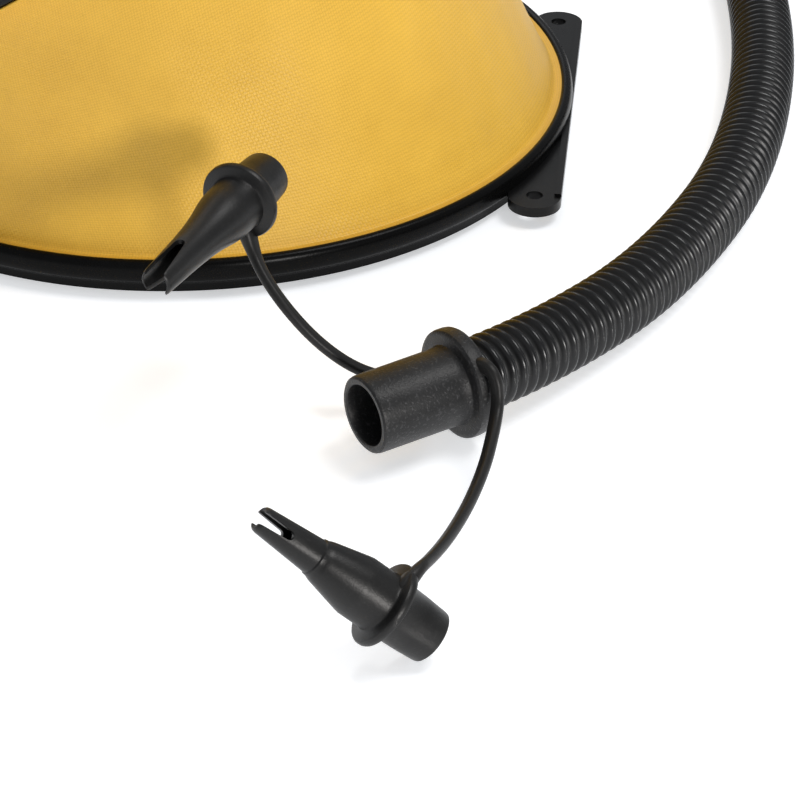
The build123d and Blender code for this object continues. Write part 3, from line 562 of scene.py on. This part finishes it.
def cut_away(piece, cutter):
    """Take a cutter's shape out of a piece."""
    deselect()
    piece.select_set(True)
    bpy.context.view_layer.objects.active = piece
    cut = piece.modifiers.new("cut", "BOOLEAN")
    cut.operation = "DIFFERENCE"
    cut.solver = "EXACT"
    cut.object = cutter
    bpy.ops.object.modifier_apply(modifier="cut")
    bpy.data.objects.remove(cutter)


def smooth(piece, degrees=35):
    deselect()
    piece.select_set(True)
    bpy.context.view_layer.objects.active = piece
    bpy.ops.object.shade_smooth_by_angle(angle=math.radians(degrees))


def soften_edges(piece, width, degrees=40, segments=3):
    """Round off a piece's sharp edges as a mould does."""
    deselect()
    piece.select_set(True)
    bpy.context.view_layer.objects.active = piece
    bevel = piece.modifiers.new("soften", "BEVEL")
    bevel.width = width * MM
    bevel.segments = segments
    bevel.limit_method = "ANGLE"
    bevel.angle_limit = math.radians(degrees)
    bevel.harden_normals = False
    bpy.ops.object.modifier_apply(modifier="soften")


def slot_cutter(start, length, tip_width, root_width):
    """A wedge along +Z, thin in X, that leaves a slot with a rounded root."""
    deselect()
    bpy.ops.mesh.primitive_cube_add(size=1.0, location=(0, 0, 0))
    wedge = bpy.context.object
    wedge.scale = (root_width * MM, 40 * MM, length * MM)
    wedge.location = (0, 0, (start + length / 2) * MM)
    bpy.ops.object.transform_apply(location=True, rotation=True, scale=True)
    bpy.ops.object.mode_set(mode="EDIT")
    bpy.ops.mesh.select_all(action="DESELECT")
    bpy.ops.object.mode_set(mode="OBJECT")
    top = (start + length / 2) * MM
    for vertex in wedge.data.vertices:
        vertex.select = vertex.co.z > top
    bpy.ops.object.mode_set(mode="EDIT")
    grow = tip_width / root_width
    bpy.ops.transform.resize(value=(grow, 1, 1), center_override=(0, 0, (start + length) * MM))
    bpy.ops.mesh.select_all(action="DESELECT")
    bpy.ops.object.mode_set(mode="OBJECT")
    for edge in wedge.data.edges:
        first, second = (wedge.data.vertices[index].co for index in edge.vertices)
        edge.select = max(first.z, second.z) < top and abs(first.y - second.y) > 0.01
    bpy.ops.object.mode_set(mode="EDIT")
    bpy.ops.mesh.select_mode(type="EDGE")
    bpy.ops.mesh.bevel(offset=root_width * 0.46 * MM, segments=6)
    bpy.ops.mesh.select_mode(type="VERT")
    bpy.ops.object.mode_set(mode="OBJECT")
    return wedge


nozzle_centre = (123.3, -204.2, 17.2)
nozzle_direction = (-math.cos(math.radians(39)), -math.sin(math.radians(39)), 0)
nozzle = turned_piece(
    "nozzle_body",
    [
        (-7.0, 7.2), (-7.0, 8.6), (-0.2, 8.6), (-0.2, 12.6), (-3.0, 12.6), (-3.0, 15.6),
        (-2.7, 16.4), (-2.0, 16.85), (-1.0, 17.0), (0.9, 17.0), (1.8, 16.8), (2.3, 16.2),
        (2.5, 15.2), (2.5, 13.2), (2.7, 12.6), (3.3, 12.25), (6.0, 12.15), (31.2, 12.0),
        (32.2, 11.75), (32.7, 11.1), (32.7, 10.0), (32.4, 9.5), (31.6, 9.3), (16.7, 9.25),
        (15.0, 8.2), (14.2, 7.2), (-7.0, 7.2),
    ],
)
stand_at(nozzle, nozzle_centre, nozzle_direction, (0, 0, 1))


smooth(nozzle, 30)
nozzle.data.materials.clear()
nozzle.data.materials.append(nozzle_vinyl)
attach(nozzle, "base")
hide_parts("nozzle")

slit_adapter = turned_piece(
    "slit_adapter_body",
    [
        (-16.4, 6.3), (-16.4, 7.2), (-16.1, 7.6), (-15.5, 7.75), (-9.0, 8.2), (-2.4, 8.45),
        (-1.7, 8.8), (-1.4, 9.6), (-1.4, 11.4), (-1.1, 12.0), (-0.5, 12.3), (0.5, 12.3),
        (1.1, 12.0), (1.4, 11.4), (1.4, 9.6), (1.8, 8.85), (2.6, 8.6), (8.0, 8.55), (10.5, 8.4),
        (13.0, 8.05), (16.0, 7.45), (19.0, 6.9), (22.0, 6.45), (26.0, 6.0), (31.0, 5.6),
        (38.0, 5.25), (48.6, 4.8), (49.6, 4.55), (50.0, 4.2), (50.0, 3.75), (36.0, 3.9),
        (24.0, 4.4), (8.0, 6.3), (-16.4, 6.3),
    ],
)
cut_away(slit_adapter, slot_cutter(34.0, 17.5, 6.4, 3.0))
soften_edges(slit_adapter, 0.3)
stand_at(slit_adapter, (55.7, -180.8, 62.0), (-0.332, -0.942, -0.037), (0.886, -0.369, 0.008))
smooth(slit_adapter, 30)

fork_adapter = turned_piece(
    "fork_adapter_body",
    [
        (-16.4, 6.3), (-16.4, 7.2), (-16.1, 7.6), (-15.5, 7.75), (-9.0, 8.2), (-2.4, 8.45),
        (-1.7, 8.8), (-1.4, 9.6), (-1.4, 11.4), (-1.1, 12.0), (-0.5, 12.3), (0.5, 12.3),
        (1.1, 12.0), (1.4, 11.4), (1.4, 9.6), (1.8, 8.85), (2.6, 8.6), (9.8, 8.6), (11.2, 8.35),
        (21.6, 6.05), (22.5, 5.75), (23.0, 5.5), (24.1, 5.35), (24.5, 5.0), (41.6, 3.75),
        (42.5, 3.55), (43.0, 3.1), (43.0, 2.35), (24.0, 3.4), (9.0, 6.3), (-16.4, 6.3),
    ],
)
cut_away(fork_adapter, slot_cutter(33.6, 10.6, 3.5, 2.3))
soften_edges(fork_adapter, 0.3)
stand_at(fork_adapter, (114.2, -311.8, 16.7), (-0.7406, -0.0915, 0.6653), (0.41, 0.723, 0.556))
smooth(fork_adapter, 30)

for adapter, cad_name, body_name in (
    (slit_adapter, "slit_adapter", "slit_adapter_body"),
    (fork_adapter, "fork_adapter", "fork_adapter_body"),
):
    adapter.data.materials.clear()
    adapter.data.materials.append(adapter_vinyl)
    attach(adapter, body_name)
    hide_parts(cad_name)


for node_name in node_finish:
    smooth(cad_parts[node_name], 30)

# ---------------------------------------------------------------- rim bead
# The rim's smooth outer bead, rolled over the edge of the cloth
disc_x = 6.0
rim_bead = turned_piece(
    "rim_bead",
    [
        (12.6, 136.6), (13.2, 136.9), (13.7, 137.6), (13.9, 138.4), (13.7, 139.3), (13.1, 140.0),
        (12.2, 140.5), (11.0, 140.8), (9.0, 140.9), (7.4, 140.75), (6.7, 140.4), (6.3, 139.9),
        (5.9, 139.4), (5.2, 139.2), (2.6, 139.1), (2.6, 138.7), (6.6, 138.9), (11.9, 139.4),
        (12.3, 136.6), (12.6, 136.6),
    ],
    sides=256,
)
stand_at(rim_bead, (disc_x, 0, 0), (0, 0, 1), (1, 0, 0))
smooth(rim_bead, 50)
rim_bead.data.materials.clear()
# painted shade: the rim bead wears the darker, less reflective copy of the base plastic
rim_bead.data.materials.append(rim_plastic_shaded_copy)
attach(rim_bead, "base")


# ---------------------------------------------------------------- straps
strap_step = 0.9  # between the points along a strap, in millimetres


def strap(name, route, cad_name, body_name, thin_side):
    """A strap with a rounded flat section along its route."""
    points, length = even_steps(route_points(route), strap_step * MM)
    last = len(points) - 1

    def swell(number):
        """Fuller where it grows out of the nozzle's flange and into the adapter's."""
        from_end = min(number, last - number) * strap_step
        return 1.0 + 0.5 * math.exp(-((from_end / 6.5) ** 2))

    made = tube_along(
        name, points, rounded_outline(3.1 * MM, 4.1 * MM, 1.35 * MM), swell, Vector(thin_side)
    )
    made.data.materials.append(strap_vinyl)
    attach(made, body_name)
    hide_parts(cad_name)
    return made, points, length


slit_strap, slit_points, slit_length = strap(
    "slit_adapter_strap", slit_strap_route, "slit_strap", "slit_adapter_body", (0.3, -0.5, 0.8)
)
fork_strap, fork_points, fork_length = strap(
    "fork_adapter_strap", fork_strap_route, "fork_strap", "fork_adapter_body", (0.9, -0.2, 0.4)
)

[c * MM for c in hose_route[0]]

# ---------------------------------------------------------------- bellows
hinge = Vector((-140.0, 0.0, 29.5))
open_angle = math.radians(31.5)
half_angle = open_angle / 2
pedal_out = Vector((math.cos(open_angle), 0, math.sin(open_angle)))
pedal_up = Vector((-math.sin(open_angle), 0, math.cos(open_angle)))
middle_out = Vector((math.cos(half_angle), 0, math.sin(half_angle)))
wall_base = 133.4
wall_pedal = 131.4
hinge_reach = 146.0
mouth_middle = (hinge_reach + wall_base) * math.cos(half_angle) - 13.0
heel_middle = (hinge_reach - wall_base) * math.cos(half_angle) + 2.0


def on_base(angle, radius, height):
    return Vector((disc_x + radius * math.cos(angle), radius * math.sin(angle), height))


def on_pedal(angle, radius, drop):
    return (
        hinge + pedal_out * (hinge_reach + radius * math.cos(angle))
        + Vector((0, radius * math.sin(angle), 0)) - pedal_up * drop
    )


def on_waist(angle):
    reach = (mouth_middle + heel_middle) / 2 + (mouth_middle - heel_middle) / 2 * math.cos(angle)
    return hinge + middle_out * reach + Vector((0, 126.4 * math.sin(angle), -5.0))


def wall_point(angle, rise):
    """A point on the cloth wall: angle round from the mouth, rise 0 at the base to 1."""
    low, middle, high = on_base(angle, wall_base, 13.2), on_waist(angle), on_pedal(angle, wall_pedal, 1.2)
    return (
        low * (1 - rise) * (1 - 2 * rise) + middle * 4 * rise * (1 - rise)
        + high * rise * (2 * rise - 1)
    )


def slack(angle, rise):
    """How far the cloth stands in from its tight shape, in millimetres: soft folds and dents."""
    free = math.sin(math.pi * min(max(rise, 0.0), 1.0)) ** 0.7
    place = Vector((math.cos(angle) * 2.2, math.sin(angle) * 2.2, rise * 1.4))
    broad = noise.noise(place * 1.3) * 2.6
    folds = noise.noise(Vector((angle * 3.4, rise * 2.2, 4.0))) * 1.6
    fine = noise.noise(Vector((angle * 11.0, rise * 5.0, 9.0))) * 0.45
    return free * (broad + folds + fine)


def dent(angle, rise, middle_angle, middle_rise, wide, tall, depth):
    return depth * math.exp(
        -(((angle - middle_angle) / wide) ** 2) - ((rise - middle_rise) / tall) ** 2
    )


around_count = 320
rise_count = 56
hem_steps = 4
rings = []
for step in range(hem_steps + 1):
    radius = 139.4 - (139.4 - wall_base - 0.9) * step / hem_steps
    rings.append(("base", radius, 12.45, 0.0))
rings.append(("base", wall_base + 0.35, 12.6, 0.0))
for step in range(rise_count + 1):
    rings.append(("wall", step / rise_count, 0.0, step / rise_count))
rings.append(("pedal", wall_pedal + 0.35, 0.85, 1.0))
for step in range(hem_steps + 1):
    radius = wall_pedal + 0.9 + (137.4 - wall_pedal - 0.9) * step / hem_steps
    rings.append(("pedal", radius, 0.7, 1.0))

cloth_points, cloth_rise, cloth_height = [], [], []
for kind, first, second, rise in rings:
    for number in range(around_count):
        angle = 2 * math.pi * number / around_count - math.pi
        if kind == "base":
            edge = 0.25 * noise.noise(Vector((angle * 5, 1, 0))) if first > 139 else 0.0
            point = on_base(angle, first + edge, second)
        elif kind == "pedal":
            point = on_pedal(angle, first, second)
        else:
            point = wall_point(angle, first)
            outward = Vector((math.cos(angle), math.sin(angle), 0))
            inward = slack(angle, first)
            inward += dent(angle, first, -0.62, 0.66, 0.16, 0.16, 3.2)
            inward -= dent(angle, first, -0.36, 0.6, 0.12, 0.2, 1.6)
            inward += dent(angle, first, -0.55, 0.045, 0.5, 0.018, 0.7)
            point = point - outward * inward
        cloth_points.append(point * MM)
        cloth_rise.append(rise)
cloth_faces = []
for ring in range(len(rings) - 1):
    for number in range(around_count):
        beside = (number + 1) % around_count
        cloth_faces.append((
            ring * around_count + number, ring * around_count + beside,
            (ring + 1) * around_count + beside, (ring + 1) * around_count + number,
        ))
bellows_mesh = bpy.data.meshes.new("bellows_cloth")
bellows_mesh.from_pydata(cloth_points, [], cloth_faces)
bellows_mesh.update()
bellows = bpy.data.objects.new("bellows_cloth", bellows_mesh)
scene.collection.objects.link(bellows)
threads = bellows_mesh.uv_layers.new(name="cloth")
ring_height = [0.0]
for ring in range(1, len(rings)):
    ring_height.append(
        ring_height[-1]
        + (cloth_points[ring * around_count + around_count // 4]
           - cloth_points[(ring - 1) * around_count + around_count // 4]).length
    )
for face in bellows_mesh.polygons:
    face.use_smooth = True
    for loop_index in face.loop_indices:
        vertex = bellows_mesh.loops[loop_index].vertex_index
        ring, number = divmod(vertex, around_count)
        if number == 0 and face.vertices[0] % around_count == around_count - 1:
            number = around_count
        threads.data[loop_index].uv = (
            number / around_count * 2 * math.pi * 0.1334, ring_height[ring]
        )
rise_layer = bellows_mesh.attributes.new("rise", "FLOAT", "POINT")
rise_layer.data.foreach_set("value", cloth_rise)
deselect()
bellows.select_set(True)
bpy.context.view_layer.objects.active = bellows
wall_thickness = bellows.modifiers.new("thickness", "SOLIDIFY")
wall_thickness.thickness = 0.0007
wall_thickness.offset = 0.0
bpy.ops.object.modifier_apply(modifier="thickness")
bellows.data.materials.append(cloth)
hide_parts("bellows")


def close_with_pedal(piece, layer):
    """Bake the piece's placement into its mesh and read each point's share from a layer; the shares are
    not used, so no point turns about the hinge.
    """
    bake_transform(piece)
    shares = [0.0] * len(piece.data.vertices)
    piece.data.attributes[layer].data.foreach_get("value", shares)


close_with_pedal(bellows, "rise")

# ---------------------------------------------------------------- return spring
spring_bottom = Vector((16.0, 0.0, 9.45))
spring_top = hinge + pedal_out * 156.0 - pedal_up * 0.55
spring_corner = Vector(
    (spring_bottom.x, 0, spring_top.z - (spring_bottom.x - spring_top.x) / math.tan(open_angle))
)
spring_route, spring_share = [], []
spring_turns = 6
for step in range(spring_turns * 24 + 1):
    part = step / (spring_turns * 24)
    rise = part - 0.75 * math.sin(2 * math.pi * part) / (2 * math.pi)
    middle = (
        spring_bottom * (1 - rise) ** 2 + spring_corner * 2 * rise * (1 - rise)
        + spring_top * rise**2
    )
    heading = (spring_corner - spring_bottom) * (1 - rise) + (spring_top - spring_corner) * rise
    lean = math.atan2(-heading.x, heading.z)
    radius = 37.0 + (26.2 - 37.0) * rise
    turn = 2 * math.pi * spring_turns * part
    sideways = Vector((math.cos(lean), 0, math.sin(lean)))
    spring_route.append(
        (middle + sideways * radius * math.cos(turn) + Vector((0, radius * math.sin(turn), 0))) * MM
    )
    spring_share.append(rise)
wire_sides = 14
wire_radius = 1.6 * MM
spring = tube_along(
    "coil_spring", spring_route, ring_outline(wire_sides, wire_radius), lambda number: 1.0
)
spring_rise = spring.data.attributes.new("rise", "FLOAT", "POINT")
spring_rise.data.foreach_set("value", [share for share in spring_share for _ in range(wire_sides)])
spring.data.materials.append(spring_steel)
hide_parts("return_spring")
close_with_pedal(spring, "rise")
